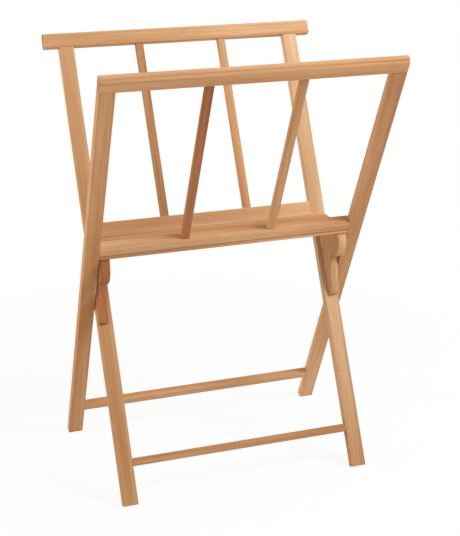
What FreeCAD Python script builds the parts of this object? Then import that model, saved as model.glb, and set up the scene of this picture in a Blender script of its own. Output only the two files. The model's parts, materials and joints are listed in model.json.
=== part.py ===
"""Folding print rack in beech: two crossed frames on a pivot, with a shelf between them.

Millimetres. +Z is up, -Y is the front and X runs along the rails. The origin is on the floor,
under the middle of the pivot axis. The outer frame leans to the front at its top and stands on
the two rear feet. The inner frame leans to the back, stands on the two front feet and carries the
shelf. Every piece is drawn about the pivot axis, in the plane of its own frame, and then leaned.
"""
import FreeCAD
import Part
import Sketcher
import os

SIZES = {
    # Frames
    "overall_width": 700.0,      # outside of the outer stiles, length of both top rails
    "stile_width": 36.5,         # along the rails
    "stile_depth": 20.0,         # front to back, square to the frame
    "lean_angle": 26.6,          # each frame from upright, in degrees
    "leg_length": 490.0,         # pivot to the end of a foot, along the stile
    "arm_length": 635.0,         # pivot to the underside of a top rail, along the stile
    "foot_dress": 2.0,           # depth of the level cut on the lowest edge of a foot
    "edge_ease": 1.5,            # rounding of the timber edges
    # Rails, slats and stretchers
    "top_rail_height": 36.0,
    "top_rail_depth": 20.0,
    "shoulder_radius": 5.0,      # lower round of the moulded edge of a top rail
    "crown_radius": 6.0,         # upper round, set back by the lower one
    "back_round": 6.0,           # plain top edge of a top rail
    "outer_lower_height": 25.0,
    "outer_lower_depth": 24.0,
    "nose_radius": 9.0,          # front top edge of the outer lower rail
    "inner_lower_height": 36.0,
    "inner_lower_depth": 20.0,
    "slat_width": 20.0,
    "slat_thickness": 12.0,
    "slat_spread": 216.0,        # between the middles of the two slats of a frame
    "stretcher_height": 19.0,
    "stretcher_depth": 20.0,
    "stretcher_rise": 99.0,      # end of a foot to the middle of a stretcher, along the stile
    # Joinery
    "tenon_length": 14.0,
    "tenon_thickness": 10.0,
    "tenon_shoulder": 4.0,       # timber left above and below a tenon
    "joint_clearance": 0.1,      # all round a tenon and a slat end
    # Shelf and corbels
    "shelf_rise": 142.4,         # pivot axis to the top of the shelf
    "shelf_thickness": 10.0,
    "shelf_setback": 2.6,        # front edge of the shelf behind the face of the outer lower rail
    "shelf_gap": 0.3,            # top of the shelf to the inner lower rail
    "stop_gap": 0.3,             # top of the shelf to the outer lower rail, which stops on it
    "corbel_thickness": 25.5,    # along the rails, flush with the outside of the inner stile
    "corbel_setback": 5.0,       # top of a corbel's front behind the front edge of the shelf
    "corbel_nose_height": 66.4,  # underside of the shelf to the underside of the nose
    "corbel_belly_radius": 63.0,
    "corbel_undercut": 11.0,     # lower end of the belly behind its upper end
    "corbel_nose_radius": 10.0,  # where the belly turns under
    "corbel_cove": 6.0,          # hollow where the nose meets the leg
    "corbel_edge_radius": 6.0,   # rounding of the edges along its front
    "corbel_neck": 49.0,         # front of the leg ahead of the stile, under the nose
    "corbel_toe": 9.0,           # the same at the lower end, square to the stile
    "corbel_drop": 54.0,         # pivot axis to the lower end, down the stile
    # Pivot hardware
    "spacer_thickness": 0.6,     # between an outer and an inner stile
    "spacer_diameter": 24.0,
    "running_gap": 0.1,          # between the outer stile and the faces that it turns against
    "sleeve_diameter": 9.0,
    "sleeve_short": 1.0,         # end of the sleeve inside the seat of the bolt's head
    "pivot_clearance": 0.05,     # radial, between sleeve and stiles
    "pivot_head_diameter": 15.0,
    "pivot_head_clearance": 0.2,  # radial, round a head in its seat
    "pivot_recess": 2.4,         # depth of the seats of the heads in the stiles
    "pivot_head_thickness": 2.2,
    "pivot_head_bevel": 0.8,
    "bolt_diameter": 6.0,
    "bolt_length": 30.0,
    "thread_clearance": 0.05,    # radial, between the bolt and the bore of the sleeve
    "socket_size": 4.0,          # across the corners of its hexagon socket
    "socket_depth": 1.4,
    # Wood screws
    "screw_diameter": 4.0,
    "screw_head_diameter": 8.0,
    "screw_head_depth": 2.4,
    "screw_socket_size": 3.0,    # across the corners of the hexagon socket
    "screw_socket_depth": 1.5,
    "corbel_screw_length": 50.0,
    "corbel_screw_pitch": 36.0,
    "corbel_screw_rise": 96.0,   # pivot axis to the middle of the pair, up the stile
    "shelf_screw_length": 40.0,
    "shelf_screw_pitch": 44.0,
    "shelf_screw_lead": 30.0,    # middle of a pair of shelf screws ahead of the pivot axis
    "screw_clearance": 0.05,     # radial, round a screw
}

DOC = FreeCAD.newDocument("PrintRack")
SHEET = DOC.addObject("Spreadsheet::Sheet", "Sizes")
for row, (alias, value) in enumerate(SIZES.items(), start=1):
    SHEET.set(f"A{row}", alias.replace("_", " "))
    SHEET.set(f"B{row}", str(value))
    SHEET.setAlias(f"B{row}", alias)
DOC.recompute()

# Places worked out from the sizes. In a frame's own plane, y runs from its front to its back and
# z runs up the stiles, both from the pivot axis.
LEAN = "Sizes.lean_angle"
OUTER_LEAN = LEAN
INNER_LEAN = f"-{LEAN}"
UPRIGHT = "0"
HALF_DEPTH = "(Sizes.stile_depth / 2)"
PIVOT_HEIGHT = f"(Sizes.leg_length * cos({LEAN}) + {HALF_DEPTH} * sin({LEAN}) - Sizes.foot_dress)"
OUTER_FACE = "(Sizes.overall_width / 2)"
OUTER_INSIDE = f"({OUTER_FACE} - Sizes.stile_width)"
INNER_FACE = f"({OUTER_INSIDE} - Sizes.spacer_thickness)"
INNER_INSIDE = f"({INNER_FACE} - Sizes.stile_width)"
CORBEL_INSIDE = f"({INNER_FACE} - Sizes.corbel_thickness)"
CORBEL_MIDDLE = f"({INNER_FACE} - Sizes.corbel_thickness / 2)"
FRONT = f"(-{HALF_DEPTH})"
SHELF_UNDERSIDE = "(Sizes.shelf_rise - Sizes.shelf_thickness)"
OUTER_LOWER_BACK = f"({FRONT} + Sizes.outer_lower_depth)"
INNER_LOWER_BACK = f"({FRONT} + Sizes.inner_lower_depth)"
TOP_RAIL_BACK = f"({FRONT} + Sizes.top_rail_depth)"
STRETCHER_BOTTOM = "(Sizes.stretcher_rise - Sizes.leg_length - Sizes.stretcher_height / 2)"
ROOM = "Sizes.joint_clearance"
MORTISE = f"2 * {ROOM}"
OVERRUN = "1"  # how far a cut starts outside the timber

BODIES = {}


def number(expression):
    """The value of an expression on the sheet, as a plain number."""
    value = SHEET.evalExpression(expression)
    return float(getattr(value, "Value", value))


def inner_front(height):
    """y of the inner frame's front face at a height above the pivot axis, as an expression."""
    return f"(({height}) * tan({LEAN}) - {HALF_DEPTH} / cos({LEAN}))"


def from_inner_frame(y, z):
    """y and z, upright, of a place in the plane of the inner frame, as expressions."""
    return f"(({y}) * cos({LEAN}) + ({z}) * sin({LEAN}))", f"(({z}) * cos({LEAN}) - ({y}) * sin({LEAN}))"


def outer_rail_bottom(y):
    """z of the level underside of the outer lower rail at y, in the plane of the outer frame."""
    return f"((Sizes.shelf_rise + Sizes.stop_gap - ({y}) * sin({LEAN})) / cos({LEAN}))"


OUTER_LOWER_TOP = f"({outer_rail_bottom(FRONT)} + Sizes.outer_lower_height)"
INNER_LOWER_BOTTOM = (f"((Sizes.shelf_rise + Sizes.shelf_gap - {HALF_DEPTH} * sin({LEAN}))"
                      f" / cos({LEAN}))")
INNER_LOWER_TOP = f"({INNER_LOWER_BOTTOM} + Sizes.inner_lower_height)"


def lean(item, angle):
    """Stands a finished piece on the pivot axis, leaned by an angle about X."""
    item.Placement = FreeCAD.Placement(FreeCAD.Vector(), FreeCAD.Rotation(FreeCAD.Vector(1, 0, 0), 1))
    item.setExpression("Placement.Base.z", PIVOT_HEIGHT)
    item.setExpression("Placement.Rotation.Angle", angle)
    BODIES[item.Label] = item


def new_body(label, angle):
    """An empty body with its label and its lean."""
    body = DOC.addObject("PartDesign::Body", label)
    body.Label = label
    lean(body, angle)
    return body


def origin_plane(body, role):
    """One of a body's own origin planes."""
    return next(item for item in body.Origin.OriginFeatures if item.Role == role)


def arc_centre(start, end, x):
    """The point at x that is as far from the start of an arc as from its end."""
    middle = (start + end) / 2
    chord = end - start
    return FreeCAD.Vector(x, middle.y - chord.x * (x - middle.x) / chord.y, 0)


def draw(body, plane, points, arcs=(), offset="0"):
    """A closed outline on an origin plane, anticlockwise at its arcs.

    arcs maps the number of a segment to the first coordinate of its centre.
    """
    sketch = body.newObject("Sketcher::SketchObject", f"{body.Label}_outline")
    sketch.AttachmentSupport = (origin_plane(body, plane), [""])
    sketch.MapMode = "FlatFace"
    sketch.setExpression("AttachmentOffset.Base.z", offset)
    arcs = dict(arcs)
    corners = [FreeCAD.Vector(number(a), number(b), 0) for a, b in points]
    for index, corner in enumerate(corners):
        following = corners[(index + 1) % len(corners)]
        if index not in arcs:
            sketch.addGeometry(Part.LineSegment(corner, following))
            continue
        centre = arc_centre(corner, following, number(arcs[index]))
        circle = Part.Circle(centre, FreeCAD.Vector(0, 0, 1), corner.distanceToPoint(centre))
        sketch.addGeometry(Part.ArcOfCircle(circle, circle.parameter(corner), circle.parameter(following)))
    for index in range(len(points)):
        before = (index - 1) % len(points)
        sketch.addConstraint(Sketcher.Constraint("Coincident", before, 2, index, 1))
    for index, pair in enumerate(points):
        for kind, expression in zip(("DistanceX", "DistanceY"), pair):
            bind(sketch, Sketcher.Constraint(kind, -1, 1, index, 1, number(expression)), expression)
    for index, expression in arcs.items():
        bind(sketch, Sketcher.Constraint("DistanceX", -1, 1, index, 3, number(expression)), expression)
    return sketch


def bind(sketch, constraint, expression):
    """Adds a constraint whose value follows an expression on the sheet."""
    index = sketch.addConstraint(constraint)
    sketch.setExpression(f"Constraints[{index}]", expression)


def pad(body, points, start, length, arcs=()):
    """Pads an outline in y and z along X, from a start, over a length."""
    feature = body.newObject("PartDesign::Pad", f"{body.Label}_pad")
    feature.Profile = draw(body, "YZ_Plane", points, arcs, start)
    feature.setExpression("Length", length)
    DOC.recompute()
    return feature


def rectangle(y0, y1, z0, z1):
    """The corners of a rectangle in y and z."""
    return [(y0, z0), (y1, z0), (y1, z1), (y0, z1)]


def ease(body, base, edges=None, radius="Sizes.edge_ease"):
    """Rounds the named edges of a feature, or all of them."""
    feature = body.newObject("PartDesign::Fillet", f"{body.Label}_ease")
    feature.Base = (base, edges or [""])
    feature.UseAllEdges = edges is None
    feature.setExpression("Radius", radius)
    DOC.recompute()
    return feature


def long_edges(feature, places):
    """The names of the edges along X that run through the given places in y and z."""
    near = 0.01
    spots = [FreeCAD.Vector(0, number(y), number(z)) for y, z in places]
    names = []
    for index, edge in enumerate(feature.Shape.Edges, start=1):
        box = edge.BoundBox
        place = FreeCAD.Vector(0, box.Center.y, box.Center.z)
        along_x = box.XLength > max(box.YLength, box.ZLength)
        if along_x and any(place.distanceToPoint(spot) < near for spot in spots):
            names.append(f"Edge{index}")
    return names


def end_edges(feature):
    """The names of the edges round the two ends of a rail that runs along X."""
    flat = 0.01
    edges = enumerate(feature.Shape.Edges, start=1)
    return [f"Edge{index}" for index, edge in edges if edge.BoundBox.XLength < flat]


def moulded_edges(feature, plain):
    """The names of the edges round the two ends, apart from those between the plain pairs of places."""
    near = 0.01
    spots = [FreeCAD.Vector(0, *((number(a) + number(b)) / 2 for a, b in zip(*pair))) for pair in plain]
    names = []
    for name in end_edges(feature):
        centre = feature.Shape.getElement(name).BoundBox.Center
        place = FreeCAD.Vector(0, centre.y, centre.z)
        if all(place.distanceToPoint(spot) > near for spot in spots):
            names.append(name)
    return names


def block(body, kind, x, y, z, length, width, height):
    """Adds or takes away a box: x, y and z are its lowest corner."""
    feature = body.newObject(f"PartDesign::{kind}Box", f"{body.Label}_{kind.lower()}_box")
    for name, expression in zip(("Length", "Width", "Height"), (length, width, height)):
        feature.setExpression(name, expression)
    for name, expression in zip("xyz", (x, y, z)):
        feature.setExpression(f"Placement.Base.{name}", expression)
    DOC.recompute()
    return feature


def drill(body, place, turn, diameter, depth):
    """Takes a round hole from a body; turn is its axis of rotation and the angle from +Z."""
    feature = body.newObject("PartDesign::SubtractiveCylinder", f"{body.Label}_hole")
    axis, angle = turn
    feature.Placement = FreeCAD.Placement(FreeCAD.Vector(), FreeCAD.Rotation(axis, 1))
    feature.setExpression("Placement.Rotation.Angle", angle)
    feature.setExpression("Radius", f"({diameter}) / 2")
    feature.setExpression("Height", depth)
    for name, expression in zip("xyz", place):
        feature.setExpression(f"Placement.Base.{name}", expression)
    DOC.recompute()


ALONG_X = (FreeCAD.Vector(0, 1, 0), "90")
DOWN = (FreeCAD.Vector(1, 0, 0), "180")
TO_FRONT = (FreeCAD.Vector(1, 0, 0), "90")


def tenon(body, end, y, z, width, height):
    """Adds a tenon to both ends of a rail that runs from -end to end."""
    for start in (f"-{end} - Sizes.tenon_length", end):
        block(body, "Additive", start, y, z, "Sizes.tenon_length", width, height)


def tenon_size(bottom, height):
    """z and height of a tenon between its two shoulders."""
    return f"({bottom} + Sizes.tenon_shoulder)", f"({height} - 2 * Sizes.tenon_shoulder)"


TENON_Y = "(-Sizes.tenon_thickness / 2)"
STRETCHER_TENON = tenon_size(STRETCHER_BOTTOM, "Sizes.stretcher_height")
OUTER_TENON = tenon_size(outer_rail_bottom(FRONT), "Sizes.outer_lower_height")
INNER_TENON = tenon_size(INNER_LOWER_BOTTOM, "Sizes.inner_lower_height")
STILE_TENON_WIDTH = "(Sizes.stile_width - 2 * Sizes.tenon_shoulder)"
SIDES = (("left", -1), ("right", 1))


def mirrored(side, inside, outside):
    """The lower x of a span between two distances from the middle, on one side."""
    return inside if side > 0 else f"-{outside}"


def stile(label, side, angle, inside, outside, lower_tenon):
    """A leg and stile in one length: level foot, tenon, mortises, pivot hole and the seat of its head."""
    flat_y = f"Sizes.foot_dress / sin({LEAN})"
    flat_z = f"Sizes.foot_dress / cos({LEAN})"
    foot, top = "-Sizes.leg_length", "Sizes.arm_length"
    if angle == OUTER_LEAN:
        heel = [(FRONT, f"{foot} + {flat_z}"), (f"{FRONT} + {flat_y}", foot), (HALF_DEPTH, foot)]
    else:
        heel = [(FRONT, foot), (f"{HALF_DEPTH} - {flat_y}", foot), (HALF_DEPTH, f"{foot} + {flat_z}")]
    body = new_body(label, angle)
    start = mirrored(side, inside, outside)
    timber = pad(body, heel + [(HALF_DEPTH, top), (FRONT, top)], start, "Sizes.stile_width")
    ease(body, timber)
    block(body, "Additive", f"{start} + Sizes.tenon_shoulder", TENON_Y, top,
          STILE_TENON_WIDTH, "Sizes.tenon_thickness", "Sizes.tenon_length")
    mouth = f"{inside} - {OVERRUN}" if side > 0 else f"-{inside} - Sizes.tenon_length - {ROOM}"
    for z, height in (lower_tenon, STRETCHER_TENON):
        block(body, "Subtractive", mouth, f"{TENON_Y} - {ROOM}", f"{z} - {ROOM}",
              f"Sizes.tenon_length + {ROOM} + {OVERRUN}", f"Sizes.tenon_thickness + {MORTISE}",
              f"{height} + {MORTISE}")
    drill(body, (f"{start} - {OVERRUN}", "0", "0"), ALONG_X,
          "Sizes.sleeve_diameter + 2 * Sizes.pivot_clearance", f"Sizes.stile_width + 2 * {OVERRUN}")
    seat_at_start = (angle == OUTER_LEAN) == (side < 0)
    seat = f"{start} - {OVERRUN}" if seat_at_start else f"{start} + Sizes.stile_width - Sizes.pivot_recess"
    drill(body, (seat, "0", "0"), ALONG_X, "Sizes.pivot_head_diameter + 2 * Sizes.pivot_head_clearance",
          f"Sizes.pivot_recess + {OVERRUN}")
    return body


def slat_mortises(body, z):
    """Takes the two slat mortises from a rail: z is the bottom of the cut."""
    for _, side in SIDES:
        block(body, "Subtractive", f"{side} * Sizes.slat_spread / 2 - Sizes.slat_width / 2 - {ROOM}",
              f"-Sizes.slat_thickness / 2 - {ROOM}", z, f"Sizes.slat_width + {MORTISE}",
              f"Sizes.slat_thickness + {MORTISE}", f"Sizes.tenon_length + {ROOM}")


def top_rail(label, angle, inside):
    """A top rail that caps its two stiles, moulded along the top edge that faces out of the rack."""
    body = new_body(label, angle)
    bottom = "Sizes.arm_length"
    top = f"({bottom} + Sizes.top_rail_height)"
    step = f"({top} - Sizes.crown_radius)"
    face_top = f"({step} - Sizes.shoulder_radius)"
    plain_top = f"({top} - Sizes.back_round)"
    if angle == OUTER_LEAN:
        shoulder = f"({FRONT} + Sizes.shoulder_radius)"
        crown = f"({shoulder} + Sizes.crown_radius)"
        plain = f"({TOP_RAIL_BACK} - Sizes.back_round)"
        edge = [(TOP_RAIL_BACK, plain_top), (plain, top), (crown, top), (shoulder, step), (FRONT, face_top)]
        arcs = {2: plain, 4: crown, 5: shoulder}
    else:
        shoulder = f"({TOP_RAIL_BACK} - Sizes.shoulder_radius)"
        crown = f"({shoulder} - Sizes.crown_radius)"
        plain = f"({FRONT} + Sizes.back_round)"
        edge = [(TOP_RAIL_BACK, face_top), (shoulder, step), (crown, top), (plain, top), (FRONT, plain_top)]
        arcs = {2: shoulder, 3: crown, 5: plain}
    foot = [(FRONT, bottom), (TOP_RAIL_BACK, bottom)]
    timber = pad(body, foot + edge, f"-{OUTER_FACE}", "Sizes.overall_width", arcs)
    ease(body, timber, long_edges(timber, foot) + end_edges(timber))
    for _, side in SIDES:
        start = mirrored(side, inside, f"({inside} + Sizes.stile_width)")
        block(body, "Subtractive", f"{start} + Sizes.tenon_shoulder - {ROOM}", f"{TENON_Y} - {ROOM}", bottom,
              f"{STILE_TENON_WIDTH} + {MORTISE}", f"Sizes.tenon_thickness + {MORTISE}",
              f"Sizes.tenon_length + {ROOM}")
    slat_mortises(body, bottom)


def slat(label, side, angle, bottom):
    """A plain slat, let into the rails above and below it."""
    body = new_body(label, angle)
    half = "Sizes.slat_thickness / 2"
    outline = rectangle(f"-{half}", half, f"{bottom} - Sizes.tenon_length",
                        "Sizes.arm_length + Sizes.tenon_length")
    start = f"{side} * Sizes.slat_spread / 2 - Sizes.slat_width / 2"
    ease(body, pad(body, outline, start, "Sizes.slat_width"))


def stretcher(label, angle, inside):
    """The bar between the two feet of a frame."""
    body = new_body(label, angle)
    outline = rectangle(FRONT, f"{FRONT} + Sizes.stretcher_depth", STRETCHER_BOTTOM,
                        f"{STRETCHER_BOTTOM} + Sizes.stretcher_height")
    timber = pad(body, outline, f"-{inside}", f"2 * {inside}")
    ease(body, timber, long_edges(timber, outline))
    tenon(body, inside, TENON_Y, STRETCHER_TENON[0], "Sizes.tenon_thickness", STRETCHER_TENON[1])


def outer_lower_rail():
    """The front lower rail: level underside that stops on the shelf, and a rounded front top edge."""
    body = new_body("outer_lower_rail", OUTER_LEAN)
    outline = [(FRONT, outer_rail_bottom(FRONT)), (OUTER_LOWER_BACK, outer_rail_bottom(OUTER_LOWER_BACK)),
               (OUTER_LOWER_BACK, OUTER_LOWER_TOP), (FRONT, OUTER_LOWER_TOP)]
    timber = pad(body, outline, f"-{OUTER_INSIDE}", f"2 * {OUTER_INSIDE}")
    nosed = ease(body, timber, long_edges(timber, outline[3:]), "Sizes.nose_radius")
    ease(body, nosed, long_edges(nosed, outline[:3]))
    tenon(body, OUTER_INSIDE, TENON_Y, OUTER_TENON[0], "Sizes.tenon_thickness", OUTER_TENON[1])
    slat_mortises(body, f"{OUTER_LOWER_TOP} - Sizes.tenon_length - {ROOM}")


def inner_lower_rail():
    """The back lower rail, just above the shelf."""
    body = new_body("inner_lower_rail", INNER_LEAN)
    outline = rectangle(FRONT, INNER_LOWER_BACK, INNER_LOWER_BOTTOM, INNER_LOWER_TOP)
    timber = pad(body, outline, f"-{INNER_INSIDE}", f"2 * {INNER_INSIDE}")
    ease(body, timber, long_edges(timber, outline))
    tenon(body, INNER_INSIDE, TENON_Y, INNER_TENON[0], "Sizes.tenon_thickness", INNER_TENON[1])
    slat_mortises(body, f"{INNER_LOWER_TOP} - Sizes.tenon_length - {ROOM}")


SCREW_HOLE = "(Sizes.screw_diameter + 2 * Sizes.screw_clearance)"
SHELF_FRONT = f"(-(Sizes.shelf_rise * tan({LEAN}) + {HALF_DEPTH} / cos({LEAN})) + Sizes.shelf_setback)"
CORBEL_FRONT = f"({SHELF_FRONT} + Sizes.corbel_setback)"
NOSE_BOTTOM = f"({SHELF_UNDERSIDE} - Sizes.corbel_nose_height)"


def corbel_screw_places(side):
    """x and z of the two screws of a corbel, in the plane of the inner frame."""
    half = "Sizes.corbel_screw_pitch / 2"
    return [(f"{side} * {CORBEL_MIDDLE}", f"(Sizes.corbel_screw_rise + {step} * {half})") for step in (-1, 1)]


def shelf_screw_places(side):
    """x and y of the two shelf screws over a corbel."""
    half = "Sizes.shelf_screw_pitch / 2"
    return [(f"{side} * {CORBEL_MIDDLE}", f"({step} * {half} - Sizes.shelf_screw_lead)") for step in (-1, 1)]


def both_sides(places):
    """The places of a kind of screw on both sides."""
    return [place for _, side in SIDES for place in places(side)]


def corbel(label, side):
    """A bracket on the front of an inner stile: a rounded nose under the shelf and a tapering leg."""
    body = new_body(label, UPRIGHT)
    lower_end = "-Sizes.corbel_drop"
    chord = "sqrt(Sizes.corbel_nose_height ^ 2 + Sizes.corbel_undercut ^ 2)"
    hollow = f"sqrt(Sizes.corbel_belly_radius ^ 2 - ({chord} / 2) ^ 2)"
    belly_middle = (f"({CORBEL_FRONT} + Sizes.corbel_undercut / 2"
                    f" + {hollow} * Sizes.corbel_nose_height / {chord})")
    nose = (f"({CORBEL_FRONT} + Sizes.corbel_undercut)", NOSE_BOTTOM)
    neck = (f"({inner_front(NOSE_BOTTOM)} - Sizes.corbel_neck)", NOSE_BOTTOM)
    outline = [(CORBEL_FRONT, SHELF_UNDERSIDE), nose, neck,
               from_inner_frame(f"{FRONT} - Sizes.corbel_toe", lower_end),
               from_inner_frame(f"{FRONT} - {ROOM}", lower_end),
               (f"{inner_front(SHELF_UNDERSIDE)} - {ROOM} / cos({LEAN})", SHELF_UNDERSIDE)]
    start = mirrored(side, CORBEL_INSIDE, INNER_FACE)
    timber = pad(body, outline, start, "Sizes.corbel_thickness", {0: belly_middle})
    rounded = ease(body, timber, long_edges(timber, [nose]), "Sizes.corbel_nose_radius")
    coved = ease(body, rounded, long_edges(rounded, [neck]), "Sizes.corbel_cove")
    plain = [(outline[3], outline[4]), (outline[4], outline[5]), (outline[5], outline[0])]
    fronted = ease(body, coved, moulded_edges(coved, plain), "Sizes.corbel_edge_radius")
    ease(body, fronted)
    for x, z in corbel_screw_places(side):
        y, height = from_inner_frame(FRONT, z)
        drill(body, (x, y, height), (FreeCAD.Vector(1, 0, 0), f"90 - {LEAN}"), SCREW_HOLE,
              f"Sizes.corbel_screw_length - Sizes.stile_depth + {OVERRUN}")
    for x, y in shelf_screw_places(side):
        drill(body, (x, y, f"{SHELF_UNDERSIDE} + {OVERRUN}"), DOWN, SCREW_HOLE,
              f"Sizes.shelf_screw_length - Sizes.shelf_thickness + 2 * {OVERRUN}")


def shelf_board():
    """The level shelf: its back edge is bevelled to lie against the inner frame."""
    body = new_body("shelf_board", UPRIGHT)
    top = "Sizes.shelf_rise"
    outline = [(SHELF_FRONT, SHELF_UNDERSIDE), (f"{inner_front(SHELF_UNDERSIDE)} - {ROOM}", SHELF_UNDERSIDE),
               (f"{inner_front(top)} - {ROOM}", top), (SHELF_FRONT, top)]
    timber = pad(body, outline, f"-{INNER_FACE}", f"2 * {INNER_FACE}")
    ease(body, timber, long_edges(timber, [outline[0], outline[3]]))
    for x, y in both_sides(shelf_screw_places):
        drill(body, (x, y, f"{top} + {OVERRUN}"), DOWN, SCREW_HOLE, f"Sizes.shelf_thickness + 2 * {OVERRUN}")
        countersink(body, (x, y, top), DOWN)


def countersink(body, place, turn):
    """Takes the seat of a screw head from a face; turn points into the timber."""
    feature = body.newObject("PartDesign::SubtractiveCone", f"{body.Label}_countersink")
    axis, angle = turn
    feature.Placement = FreeCAD.Placement(FreeCAD.Vector(), FreeCAD.Rotation(axis, float(angle)))
    feature.setExpression("Radius1", "Sizes.screw_head_diameter / 2 + Sizes.screw_clearance")
    feature.setExpression("Radius2", f"{SCREW_HOLE} / 2")
    feature.setExpression("Height", "Sizes.screw_head_depth")
    for name, expression in zip("xyz", place):
        feature.setExpression(f"Placement.Base.{name}", expression)
    DOC.recompute()


def screws(label, angle, places, turn, length):
    """A set of like countersunk screws, socket headed, as one group of separate solids."""
    axis, degrees = turn
    pieces = []
    for place in places:
        head = DOC.addObject("Part::Cone", f"{label}_head")
        shank = DOC.addObject("Part::Cylinder", f"{label}_shank")
        socket = DOC.addObject("Part::Prism", f"{label}_socket")
        head.setExpression("Radius1", "Sizes.screw_head_diameter / 2")
        head.setExpression("Radius2", "Sizes.screw_diameter / 2")
        head.setExpression("Height", "Sizes.screw_head_depth")
        shank.setExpression("Radius", "Sizes.screw_diameter / 2")
        shank.setExpression("Height", length)
        socket.Polygon = 6
        socket.setExpression("Circumradius", "Sizes.screw_socket_size / 2")
        socket.setExpression("Height", "Sizes.screw_socket_depth")
        for item in (head, shank, socket):
            item.Placement = FreeCAD.Placement(FreeCAD.Vector(), FreeCAD.Rotation(axis, float(degrees)))
            for name, expression in zip("xyz", place):
                item.setExpression(f"Placement.Base.{name}", expression)
        blank = DOC.addObject("Part::Fuse", f"{label}_blank")
        blank.Base, blank.Tool = head, shank
        screw = DOC.addObject("Part::Cut", f"{label}_screw")
        screw.Base, screw.Tool = blank, socket
        pieces.append(screw)
    group = DOC.addObject("Part::Compound", label)
    group.Label = label
    group.Links = pieces
    lean(group, angle)


def turned(label, side, outline):
    """A part turned about the pivot axis; its outline is in x from the middle and radius."""
    body = new_body(label, UPRIGHT)
    points = [(f"{side} * ({x})", radius) for x, radius in outline]
    feature = body.newObject("PartDesign::Revolution", f"{label}_revolution")
    profile = draw(body, "XY_Plane", points)
    feature.Profile = profile
    feature.ReferenceAxis = (profile, ["H_Axis"])
    feature.Angle = 360
    DOC.recompute()
    return body


def pivot(name, side):
    """A sleeve nut through both stiles, the bolt that closes it and the spacer between the stiles."""
    sleeve = "Sizes.sleeve_diameter / 2"
    bore = "(Sizes.bolt_diameter / 2 + Sizes.thread_clearance)"
    head = "Sizes.pivot_head_diameter / 2"
    inner_seat = f"({INNER_INSIDE} + Sizes.pivot_recess)"
    outer_seat = f"({OUTER_FACE} - Sizes.pivot_recess)"
    end = f"({outer_seat} - Sizes.sleeve_short)"
    flange = f"({inner_seat} - Sizes.pivot_head_thickness)"
    turned(f"pivot_sleeve_{name}", side, [(flange, bore), (flange, head), (inner_seat, head),
                                          (inner_seat, sleeve), (end, sleeve), (end, bore)])
    hole = f"{sleeve} + Sizes.pivot_clearance"
    rim = "Sizes.spacer_diameter / 2"
    far = f"{OUTER_INSIDE} - Sizes.running_gap"
    turned(f"pivot_spacer_{name}", side, [(INNER_FACE, hole), (INNER_FACE, rim), (far, rim), (far, hole)])
    shank = "Sizes.bolt_diameter / 2"
    tip = f"({OUTER_FACE} - Sizes.bolt_length)"
    seat = f"({outer_seat} + Sizes.running_gap)"
    crown = f"({seat} + Sizes.pivot_head_thickness)"
    bolt = turned(f"pivot_bolt_{name}", side, [(tip, "0"), (tip, shank), (seat, shank), (seat, head),
                                               (f"{crown} - Sizes.pivot_head_bevel", head),
                                               (crown, f"{head} - Sizes.pivot_head_bevel"), (crown, "0")])
    socket = bolt.newObject("PartDesign::SubtractivePrism", f"{bolt.Label}_socket")
    socket.Polygon = 6
    socket.setExpression("Circumradius", "Sizes.socket_size / 2")
    socket.setExpression("Height", f"Sizes.socket_depth + {OVERRUN}")
    socket.Placement = FreeCAD.Placement(FreeCAD.Vector(), FreeCAD.Rotation(FreeCAD.Vector(0, 1, 0), 90))
    socket_floor = f"{crown} - Sizes.socket_depth"
    socket.setExpression("Placement.Base.x", socket_floor if side > 0 else f"-{crown} - {OVERRUN}")
    DOC.recompute()


def outer_frame():
    """The frame that leans to the front."""
    for name, side in SIDES:
        stile(f"outer_stile_{name}", side, OUTER_LEAN, OUTER_INSIDE, OUTER_FACE, OUTER_TENON)
        slat(f"outer_slat_{name}", side, OUTER_LEAN, OUTER_LOWER_TOP)
    top_rail("outer_top_rail", OUTER_LEAN, OUTER_INSIDE)
    outer_lower_rail()
    stretcher("outer_stretcher", OUTER_LEAN, OUTER_INSIDE)


def inner_frame():
    """The frame that leans to the back, with the shelf on its two corbels."""
    for name, side in SIDES:
        body = stile(f"inner_stile_{name}", side, INNER_LEAN, INNER_INSIDE, INNER_FACE, INNER_TENON)
        for x, z in corbel_screw_places(side):
            drill(body, (x, f"{HALF_DEPTH} + {OVERRUN}", z), TO_FRONT, SCREW_HOLE,
                  f"Sizes.stile_depth + 2 * {OVERRUN}")
            countersink(body, (x, HALF_DEPTH, z), TO_FRONT)
        slat(f"inner_slat_{name}", side, INNER_LEAN, INNER_LOWER_TOP)
        corbel(f"corbel_{name}", side)
    top_rail("inner_top_rail", INNER_LEAN, INNER_INSIDE)
    inner_lower_rail()
    stretcher("inner_stretcher", INNER_LEAN, INNER_INSIDE)
    shelf_board()
    screws("corbel_screws", INNER_LEAN, [(x, HALF_DEPTH, z) for x, z in both_sides(corbel_screw_places)],
           TO_FRONT, "Sizes.corbel_screw_length")
    screws("shelf_screws", UPRIGHT, [(x, y, "Sizes.shelf_rise") for x, y in both_sides(shelf_screw_places)],
           DOWN, "Sizes.shelf_screw_length")


def check():
    """Stops the build if any object failed or any sub-part is empty or invalid."""
    for item in DOC.Objects:
        if "Invalid" in item.State or "Error" in item.State:
            raise RuntimeError(f"{item.Label} failed: {item.State}")
    for label, item in BODIES.items():
        if item.Shape.isNull() or not item.Shape.isValid() or not item.Shape.Solids:
            raise RuntimeError(f"{label} has no valid solid")


def main():
    """Builds every sub-part and writes its STEP file."""
    outer_frame()
    inner_frame()
    for name, side in SIDES:
        pivot(name, side)
    DOC.recompute()
    check()
    os.makedirs("parts", exist_ok=True)
    for label, item in BODIES.items():
        item.Shape.exportStep(f"parts/{label}.step")
        print(f"{label}: {len(item.Shape.Solids)} solid(s), {item.Shape.Volume / 1000:.1f} cm3")


main()
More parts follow.
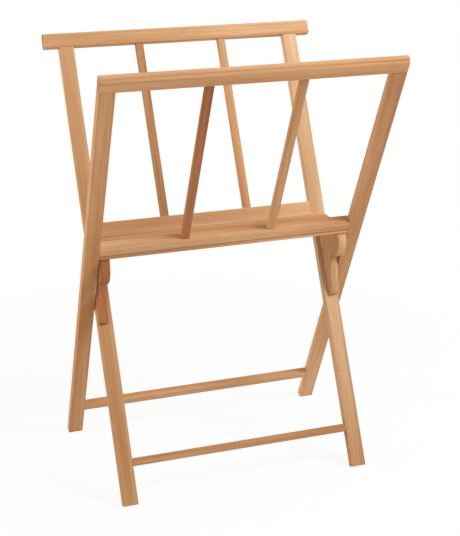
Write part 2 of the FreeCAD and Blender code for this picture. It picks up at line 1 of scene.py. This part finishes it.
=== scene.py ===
"""A folding print rack in oiled beech, with zinc-plated pivots, on a white studio floor.

Metres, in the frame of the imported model: X along the rails, -Y to the front, +Z up.
Every timber is cut from an imagined log of its own: a solid figure of rings, fibres and flecks
that runs along the timber and shows end grain where the timber is cut across.
"""
import json
import math
import bpy
from mathutils import Euler, Matrix, Vector


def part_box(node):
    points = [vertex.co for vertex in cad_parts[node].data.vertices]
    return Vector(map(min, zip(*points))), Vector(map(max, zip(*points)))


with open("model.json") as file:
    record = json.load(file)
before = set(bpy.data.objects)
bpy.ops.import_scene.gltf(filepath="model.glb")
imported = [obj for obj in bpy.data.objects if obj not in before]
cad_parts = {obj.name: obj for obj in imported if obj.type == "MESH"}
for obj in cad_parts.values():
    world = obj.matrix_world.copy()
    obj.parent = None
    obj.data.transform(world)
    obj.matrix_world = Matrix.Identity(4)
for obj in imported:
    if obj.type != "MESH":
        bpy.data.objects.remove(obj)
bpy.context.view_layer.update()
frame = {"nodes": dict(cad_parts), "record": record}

LEAN = math.radians(26.6)
QUARTER_TURN = math.pi / 2


def place(tree, kind, inputs=(), **settings):
    """Adds a node: settings are its properties, inputs its sockets, as values or as links."""
    node = tree.nodes.new(kind)
    for name, value in settings.items():
        setattr(node, name, value)
    for name, value in dict(inputs).items():
        if isinstance(value, bpy.types.NodeSocket):
            tree.links.new(value, node.inputs[name])
        else:
            node.inputs[name].default_value = value
    return node


def calculate(tree, operation, *values):
    """A Math node on up to three values."""
    return place(tree, "ShaderNodeMath", enumerate(values), operation=operation).outputs[0]


def vector(tree, operation, *values):
    """A Vector Math node on up to two vectors, for its vector result."""
    return place(tree, "ShaderNodeVectorMath", enumerate(values), operation=operation).outputs[0]


def measure(tree, operation, *values):
    """A Vector Math node for its number, such as a length or a dot product."""
    return place(tree, "ShaderNodeVectorMath", enumerate(values), operation=operation).outputs["Value"]


def remap(tree, value, low, high, to_low=0.0, to_high=1.0, curve="SMOOTHSTEP"):
    """Carries a value from one span to another, smoothly and held at both ends."""
    sockets = {"Value": value, "From Min": low, "From Max": high, "To Min": to_low, "To Max": to_high}
    return place(tree, "ShaderNodeMapRange", sockets, interpolation_type=curve).outputs[0]


def mix(tree, share, first, second, blend="MIX"):
    """Mixes two colours by a share of the second."""
    node = place(tree, "ShaderNodeMix", {0: share, 6: first, 7: second}, data_type="RGBA", blend_type=blend)
    return node.outputs[2]


def noise(tree, position, stretch, detail=2.0, roughness=0.5):
    """Noise with its own number of waves per metre along each axis."""
    stretched = vector(tree, "MULTIPLY", position, stretch)
    sockets = {"Vector": stretched, "Scale": 1.0, "Detail": detail, "Roughness": roughness}
    return place(tree, "ShaderNodeTexNoise", sockets)


def new_group(name, inputs, outputs):
    """An empty shader node group with its sockets, each a name and a type."""
    tree = bpy.data.node_groups.new(name, "ShaderNodeTree")
    for direction, sockets in (("INPUT", inputs), ("OUTPUT", outputs)):
        for label, kind in sockets.items():
            tree.interface.new_socket(label, in_out=direction, socket_type=f"NodeSocket{kind}")
    return tree, tree.nodes.new("NodeGroupInput").outputs, tree.nodes.new("NodeGroupOutput").inputs


def use_group(tree, group, inputs):
    """Places a node group in a material with its own values."""
    return place(tree, "ShaderNodeGroup", inputs, node_tree=group).outputs


def new_material(name):
    """An empty material with its Principled shader already on the output."""
    material = bpy.data.materials.new(name)
    material.use_nodes = True
    tree = material.node_tree
    tree.nodes.clear()
    shader = place(tree, "ShaderNodeBsdfPrincipled")
    place(tree, "ShaderNodeOutputMaterial", {"Surface": shader.outputs[0]})
    return material, tree, shader


def finish(tree, shader, colour, roughness, height=None, depth=0.0):
    """Joins a finish to its shader, with a relief of the given depth in metres."""
    tree.links.new(colour, shader.inputs["Base Color"])
    tree.links.new(roughness, shader.inputs["Roughness"])
    if height is not None:
        bump = place(tree, "ShaderNodeBump", {"Height": height, "Strength": 1.0, "Distance": depth})
        tree.links.new(bump.outputs[0], shader.inputs["Normal"])


# Beech
PALE_BEECH = (0.625, 0.336, 0.160, 1)
WARM_BEECH = (0.500, 0.230, 0.092, 1)
RING_BEECH = (0.390, 0.165, 0.062, 1)
FLECK_BEECH = (0.310, 0.122, 0.045, 1)
END_SHADE = (0.72, 0.66, 0.60, 1)
RING_WIDTH = 0.0034
RING_UNEVENNESS = 2.2
GRAIN_WANDER = 0.006
# Waves per metre across the log, twice, and along it
WANDER_WAVES = (9, 9, 1.1)
RING_WAVES = (60, 60, 0.6)
BROAD_WAVES = (26, 26, 1.6)
STREAK_WAVES = (210, 210, 4)
FIBRE_WAVES = (1500, 1500, 22)
FLECK_WAVES = (820, 820, 105)
RING_SHARE, FIBRE_SHARE, FLECK_SHARE = 0.30, 0.20, 0.35
WOOD_SMOOTH, WOOD_ROUGH, END_ROUGHER = 0.64, 0.74, 0.2
FIBRE_RISE, FLECK_DENT = 0.8, 0.6
WOOD_RELIEF = 0.00001
WOOD_SHEEN = 0.02


def beech_figure():
    """The figure of beech in a log whose axis is Z.

    Rings are circles about the heart, bent by a slow wander along the log. Each ring darkens
    towards its outer edge. Fibres and flecks are noise drawn out along the log.
    """
    inputs = {"Position": "Vector", "Facing": "Vector", "Heart": "Vector",
              "Tint": "Color", "Streaks": "Float"}
    outputs = {"Colour": "Color", "Roughness": "Float", "Relief": "Float"}
    tree, given, result = new_group("beech_figure", inputs, outputs)
    position = given["Position"]
    drift = noise(tree, position, WANDER_WAVES, 2.0).outputs["Color"]
    wander = vector(tree, "MULTIPLY", vector(tree, "SUBTRACT", drift, (0.5, 0.5, 0.5)),
                    (GRAIN_WANDER, GRAIN_WANDER, 0))
    bent = vector(tree, "ADD", position, wander)
    from_heart = vector(tree, "MULTIPLY", vector(tree, "SUBTRACT", bent, given["Heart"]), (1, 1, 0))
    rings = calculate(tree, "DIVIDE", measure(tree, "LENGTH", from_heart), RING_WIDTH)
    uneven = noise(tree, bent, RING_WAVES, 1.0).outputs[0]
    shifted = calculate(tree, "ADD", rings, calculate(tree, "MULTIPLY", uneven, RING_UNEVENNESS))
    phase = calculate(tree, "FRACT", shifted)
    late = calculate(tree, "MULTIPLY", remap(tree, phase, 0.35, 0.9), remap(tree, phase, 0.9, 1.0, 1.0, 0.0))
    broad = noise(tree, bent, BROAD_WAVES, 2.0).outputs[0]
    streak = noise(tree, bent, STREAK_WAVES, 3.0, 0.6).outputs[0]
    fibre = noise(tree, bent, FIBRE_WAVES, 2.0).outputs[0]
    fleck = remap(tree, noise(tree, bent, FLECK_WAVES, 1.0).outputs[0], 0.63, 0.72)

    warmth = remap(tree, broad, 0.32, 0.68)
    wood = mix(tree, warmth, PALE_BEECH, WARM_BEECH)
    wood = mix(tree, calculate(tree, "MULTIPLY", late, RING_SHARE), wood, RING_BEECH)
    streaked = calculate(tree, "MULTIPLY", remap(tree, streak, 0.45, 0.75), given["Streaks"])
    wood = mix(tree, streaked, wood, RING_BEECH)
    wood = mix(tree, remap(tree, fibre, 0.40, 0.80, 0.0, FIBRE_SHARE), wood, RING_BEECH)
    wood = mix(tree, calculate(tree, "MULTIPLY", fleck, FLECK_SHARE), wood, FLECK_BEECH)
    across = calculate(tree, "ABSOLUTE", measure(tree, "DOT_PRODUCT", given["Facing"], (0, 0, 1)))
    end = remap(tree, across, 0.55, 0.85)
    wood = mix(tree, end, wood, mix(tree, 1.0, wood, END_SHADE, "MULTIPLY"))
    # The tint multiplies in the timber's tone, which is partly the wood's own and partly painted shade and
    # painted sheen.
    tree.links.new(mix(tree, 1.0, wood, given["Tint"], "MULTIPLY"), result["Colour"])
    planed = remap(tree, streak, 0.3, 0.7, WOOD_SMOOTH, WOOD_ROUGH)
    sawn = calculate(tree, "MULTIPLY", end, END_ROUGHER)
    tree.links.new(calculate(tree, "ADD", planed, sawn), result["Roughness"])
    rises = calculate(tree, "MULTIPLY", fibre, FIBRE_RISE)
    dents = calculate(tree, "MULTIPLY", fleck, FLECK_DENT)
    tree.links.new(calculate(tree, "SUBTRACT", rises, dents), result["Relief"])
    return tree


BEECH = beech_figure()
ALONG = "along the rails"
UP = "up the frame"
OUTER, INNER, UPRIGHT = LEAN, -LEAN, 0.0
TIMBERS = {
    "outer_stile_left": (OUTER, UP), "outer_stile_right": (OUTER, UP),
    "outer_slat_left": (OUTER, UP), "outer_slat_right": (OUTER, UP),
    "outer_top_rail": (OUTER, ALONG), "outer_lower_rail": (OUTER, ALONG), "outer_stretcher": (OUTER, ALONG),
    "inner_stile_left": (INNER, UP), "inner_stile_right": (INNER, UP),
    "inner_slat_left": (INNER, UP), "inner_slat_right": (INNER, UP),
    "inner_top_rail": (INNER, ALONG), "inner_lower_rail": (INNER, ALONG), "inner_stretcher": (INNER, ALONG),
    "shelf_board": (UPRIGHT, ALONG), "corbel_left": (UPRIGHT, UP), "corbel_right": (UPRIGHT, UP),
}
# Tones of the boards, from the palest to the reddest. They are partly the wood's own tone and partly painted
# light: where a timber's tone changes along it, the change partly paints shade at its darker end and sheen at
# its paler, bluer end.
CREAM = (1.45, 2.00, 2.70, 1)
PALE = (1.25, 1.45, 1.70, 1)
HONEY = (1.10, 1.15, 1.20, 1)
TAN = (0.92, 0.95, 1.00, 1)
ROSE = (0.88, 0.72, 0.78, 1)
RUSSET = (0.75, 0.60, 0.55, 1)
TONES_WITH_PAINTED_LIGHT = {
    # node: tone at the lower or left end, tone at the upper or right end
    "outer_stile_left": (HONEY, HONEY), "outer_stile_right": (PALE, TAN),
    "outer_slat_left": (ROSE, RUSSET), "outer_slat_right": (HONEY, TAN),
    "outer_top_rail": (PALE, HONEY), "outer_lower_rail": (PALE, HONEY), "outer_stretcher": (HONEY, PALE),
    # Inner stiles: the darker lower ends are partly painted shade, and the paler, bluer upper ends are partly
    # painted sheen.
    "inner_stile_left": (TAN, PALE), "inner_stile_right": (TAN, CREAM),
    "inner_slat_left": (TAN, TAN), "inner_slat_right": (HONEY, PALE),
    "inner_top_rail": (PALE, PALE), "inner_lower_rail": (HONEY, CREAM), "inner_stretcher": (TAN, TAN),
    # corbel_left's russet is partly painted shade under the shelf; corbel_right's darker lower end is painted
    # shade on its leg.
    "shelf_board": (TAN, HONEY), "corbel_left": (RUSSET, RUSSET), "corbel_right": (TAN, PALE),
}
PLAIN_STREAKS, STRONG_STREAKS = 0.65, 0.85
STREAKED = ("inner_slat_left", "inner_stretcher", "outer_slat_left", "outer_slat_right")
GOLDEN_ANGLE = math.radians(137.5)
HEART_NEAR = 0.055
HEART_STEP = 0.013
LOG_STEP = 1.37


def beech(node, number):
    """The finish of one timber: its log lies along the timber, with its heart to one side."""
    lean, run = TIMBERS[node]
    turn = Euler((-lean, -QUARTER_TURN if run == ALONG else 0.0, 0.0))
    low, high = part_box(node)
    middle = turn.to_matrix() @ ((low + high) / 2)
    material, tree, shader = new_material(f"beech_{node}")
    coordinates = place(tree, "ShaderNodeTexCoord").outputs
    shift = Vector((0, 0, LOG_STEP * number)) - middle
    position = place(tree, "ShaderNodeMapping",
                     {"Vector": coordinates["Object"], "Rotation": turn, "Location": shift}).outputs[0]
    facing = place(tree, "ShaderNodeMapping", {"Vector": coordinates["Normal"], "Rotation": turn},
                   vector_type="VECTOR").outputs[0]
    half = sum(abs(share) * size for share, size in zip(turn.to_matrix()[2], high - low)) / 2
    along = place(tree, "ShaderNodeSeparateXYZ", {0: position}).outputs["Z"]
    start, end = LOG_STEP * number - half, LOG_STEP * number + half
    # The tone mixed along the timber is partly the wood's own and partly painted shade and painted sheen.
    first, last = TONES_WITH_PAINTED_LIGHT[node]
    tone_with_painted_light = mix(tree, remap(tree, along, start, end, curve="LINEAR"), first, last)
    reach = HEART_NEAR + HEART_STEP * (number % 5)
    angle = GOLDEN_ANGLE * number
    heart = (reach * math.cos(angle), reach * math.sin(angle), 0)
    streaks = STRONG_STREAKS if node in STREAKED else PLAIN_STREAKS
    figure = use_group(tree, BEECH, {"Position": position, "Facing": facing, "Heart": heart,
                                     "Tint": tone_with_painted_light, "Streaks": streaks})
    finish(tree, shader, figure["Colour"], figure["Roughness"], figure["Relief"], WOOD_RELIEF)
    shader.inputs["Specular IOR Level"].default_value = WOOD_SHEEN
    return material


# Metal and nylon
CLOUD_WAVES = (160, 160, 160)
SCRATCH_WAVES = (2600, 2600, 90)
CROSSED_WAVES = (90, 2600, 2600)
SCRATCH_DEPTH = 0.00004
ZINC_BRIGHT, ZINC_DULL = (0.42, 0.42, 0.41, 1), (0.30, 0.30, 0.30, 1)
BRASS_BRIGHT, BRASS_DULL = (0.70, 0.52, 0.24, 1), (0.52, 0.36, 0.15, 1)
NYLON_BROWN, NYLON_DARK = (0.075, 0.040, 0.025, 1), (0.055, 0.030, 0.020, 1)
NYLON_CLOUDS = (90, 90, 90)
NYLON_PEBBLES = (1800, 1800, 1800)
PEBBLE_DEPTH = 0.00003


def handling_marks():
    """Fine scratches in two directions and soft cloudy dulling, for plated and turned metal."""
    outputs = {"Dulling": "Float", "Scratch": "Float"}
    tree, given, result = new_group("handling_marks", {"Position": "Vector"}, outputs)
    cloud = noise(tree, given["Position"], CLOUD_WAVES, 3.0).outputs[0]
    first = noise(tree, given["Position"], SCRATCH_WAVES, 2.0).outputs[0]
    second = noise(tree, given["Position"], CROSSED_WAVES, 2.0).outputs[0]
    scratch = calculate(tree, "MAXIMUM", first, second)
    tree.links.new(remap(tree, cloud, 0.35, 0.65), result["Dulling"])
    tree.links.new(remap(tree, scratch, 0.55, 0.75), result["Scratch"])
    return tree


MARKS = handling_marks()


def metal(name, bright, dull, smooth, rough):
    """A plated metal that goes from bright to dull in soft clouds, with fine scratches."""
    material, tree, shader = new_material(name)
    position = place(tree, "ShaderNodeTexCoord").outputs["Object"]
    marks = use_group(tree, MARKS, {"Position": position})
    colour = mix(tree, marks["Dulling"], bright, dull)
    roughness = remap(tree, marks["Dulling"], 0.0, 1.0, smooth, rough)
    finish(tree, shader, colour, roughness, marks["Scratch"], SCRATCH_DEPTH)
    shader.inputs["Metallic"].default_value = 1.0
    return material


def nylon(name):
    """Moulded nylon: dark brown, matt, a little cloudy."""
    material, tree, shader = new_material(name)
    position = place(tree, "ShaderNodeTexCoord").outputs["Object"]
    cloud = noise(tree, position, NYLON_CLOUDS, 2.0).outputs[0]
    pebble = noise(tree, position, NYLON_PEBBLES, 2.0).outputs[0]
    colour = mix(tree, remap(tree, cloud, 0.3, 0.7), NYLON_BROWN, NYLON_DARK)
    finish(tree, shader, colour, remap(tree, pebble, 0.3, 0.7, 0.5, 0.62), pebble, PEBBLE_DEPTH)
    return material


def dress():
    """Gives every piece its finish."""
    others = {
        "steel": metal("zinc_plated_steel", ZINC_BRIGHT, ZINC_DULL, 0.34, 0.52),
        "brass": metal("satin_brass", BRASS_BRIGHT, BRASS_DULL, 0.30, 0.48),
        "nylon": nylon("moulded_nylon"),
    }
    slots = {part["node"]: part["material_slot"] for part in frame["record"]["subparts"]}
    for number, node in enumerate(TIMBERS):
        assign(node, beech(node, number))
    for node, slot in slots.items():
        if slot in others:
            assign(node, others[slot])


def assign(node, material):
    """Puts a material in every slot of a piece."""
    for slot in frame["nodes"][node].material_slots:
        slot.material = material


# Floor, light and camera
FLOOR_HALF = 30.0
SHADOW_NEAR, SHADOW_FAR = 0.8, 1.6
SHADOW_HIDDEN = 0.90
FLOOR_WHITE = (0.88, 0.88, 0.88, 1)
WHITE = (1, 1, 1, 1)


def background_share(tree):
    """1 for rays that show the background: from the camera, off gloss and through glass."""
    path = place(tree, "ShaderNodeLightPath").outputs
    seen = calculate(tree, "MAXIMUM", path["Is Camera Ray"], path["Is Glossy Ray"])
    return calculate(tree, "MAXIMUM", seen, path["Is Transmission Ray"])


def studio_floor():
    """A white floor that keeps a faint shadow near the rack and runs out to pure white further off."""
    mesh = bpy.data.meshes.new("studio_floor")
    corners = [(-FLOOR_HALF, -FLOOR_HALF, 0), (FLOOR_HALF, -FLOOR_HALF, 0),
               (FLOOR_HALF, FLOOR_HALF, 0), (-FLOOR_HALF, FLOOR_HALF, 0)]
    mesh.from_pydata(corners, [], [(0, 1, 2, 3)])
    floor = bpy.data.objects.new("studio_floor", mesh)
    bpy.context.scene.collection.objects.link(floor)
    material = bpy.data.materials.new("white_floor")
    material.use_nodes = True
    tree = material.node_tree
    tree.nodes.clear()
    matt = place(tree, "ShaderNodeBsdfDiffuse", {"Color": FLOOR_WHITE})
    white = place(tree, "ShaderNodeEmission", {"Color": WHITE, "Strength": 1.0})
    distance = measure(tree, "LENGTH", place(tree, "ShaderNodeTexCoord").outputs["Object"])
    away = remap(tree, distance, SHADOW_NEAR, SHADOW_FAR, SHADOW_HIDDEN, 1.0)
    share = calculate(tree, "MULTIPLY", away, background_share(tree))
    blend = place(tree, "ShaderNodeMixShader", {0: share, 1: matt.outputs[0], 2: white.outputs[0]})
    place(tree, "ShaderNodeOutputMaterial", {"Surface": blend.outputs[0]})
    mesh.materials.append(material)


SIDE_LIGHT, TOP_LIGHT = 0.06, 0.64


def studio_world():
    """Soft light from all round, stronger from above, and white where it shows."""
    world = bpy.data.worlds.new("studio")
    bpy.context.scene.world = world
    world.use_nodes = True
    tree = world.node_tree
    tree.nodes.clear()
    direction = place(tree, "ShaderNodeTexCoord").outputs["Generated"]
    upward = place(tree, "ShaderNodeSeparateXYZ", {0: direction}).outputs["Z"]
    strength = remap(tree, upward, 0.0, 1.0, SIDE_LIGHT, TOP_LIGHT)
    light = place(tree, "ShaderNodeBackground", {"Color": WHITE, "Strength": strength})
    white = place(tree, "ShaderNodeBackground", {"Color": WHITE, "Strength": 1.0})
    blend = place(tree, "ShaderNodeMixShader",
                  {0: background_share(tree), 1: light.outputs[0], 2: white.outputs[0]})
    place(tree, "ShaderNodeOutputWorld", {"Surface": blend.outputs[0]})


RACK_MIDDLE = Vector((0.0, -0.05, 0.6))
LAMPS = {
    # name: degrees to the right of the front, degrees up, distance, size, power
    "key_softbox": (50, 39, 4.2, 1.6, 142.0),
    "left_softbox": (-98, 12, 6.5, 3.5, 250.0),
}


def studio_lamps():
    """Square softboxes that face the middle of the rack."""
    for name, (aside, up, distance, size, power) in LAMPS.items():
        data = bpy.data.lights.new(name, "AREA")
        data.shape = "SQUARE"
        data.size = size
        data.energy = power
        lamp = bpy.data.objects.new(name, data)
        bpy.context.scene.collection.objects.link(lamp)
        turn = Euler((math.radians(90 - up), 0, math.radians(aside)))
        lamp.location = RACK_MIDDLE + turn.to_matrix() @ Vector((0, 0, distance))
        lamp.rotation_euler = turn


CAMERA_PLACE = Vector((-0.91776, -2.75418, 1.50245))
CAMERA_YAW, CAMERA_PITCH, CAMERA_ROLL = 0.3325, 0.3351, -0.0045
FOCAL_PIXELS = 1243.5
IMAGE_WIDTH = 460
SENSOR = 36.0


def stand_camera():
    """The camera at the photograph's viewing angle: yaw is towards +X and pitch is down."""
    sight = Vector((math.sin(CAMERA_YAW) * math.cos(CAMERA_PITCH),
                    math.cos(CAMERA_YAW) * math.cos(CAMERA_PITCH), -math.sin(CAMERA_PITCH)))
    level = Vector((math.cos(CAMERA_YAW), -math.sin(CAMERA_YAW), 0))
    upward = level.cross(sight)
    right = math.cos(CAMERA_ROLL) * level + math.sin(CAMERA_ROLL) * upward
    up = right.cross(sight)
    data = bpy.data.cameras.new("photo_camera")
    data.sensor_fit = "HORIZONTAL"
    data.sensor_width = SENSOR
    data.lens = FOCAL_PIXELS / IMAGE_WIDTH * SENSOR
    camera = bpy.data.objects.new("photo_camera", data)
    bpy.context.scene.collection.objects.link(camera)
    camera.matrix_world = Matrix.Translation(CAMERA_PLACE) @ Matrix((right, up, -sight)).transposed().to_4x4()
    bpy.context.scene.camera = camera


dress()
studio_floor()
studio_world()
studio_lamps()
stand_camera()
bpy.context.scene.view_settings.view_transform = "Standard"
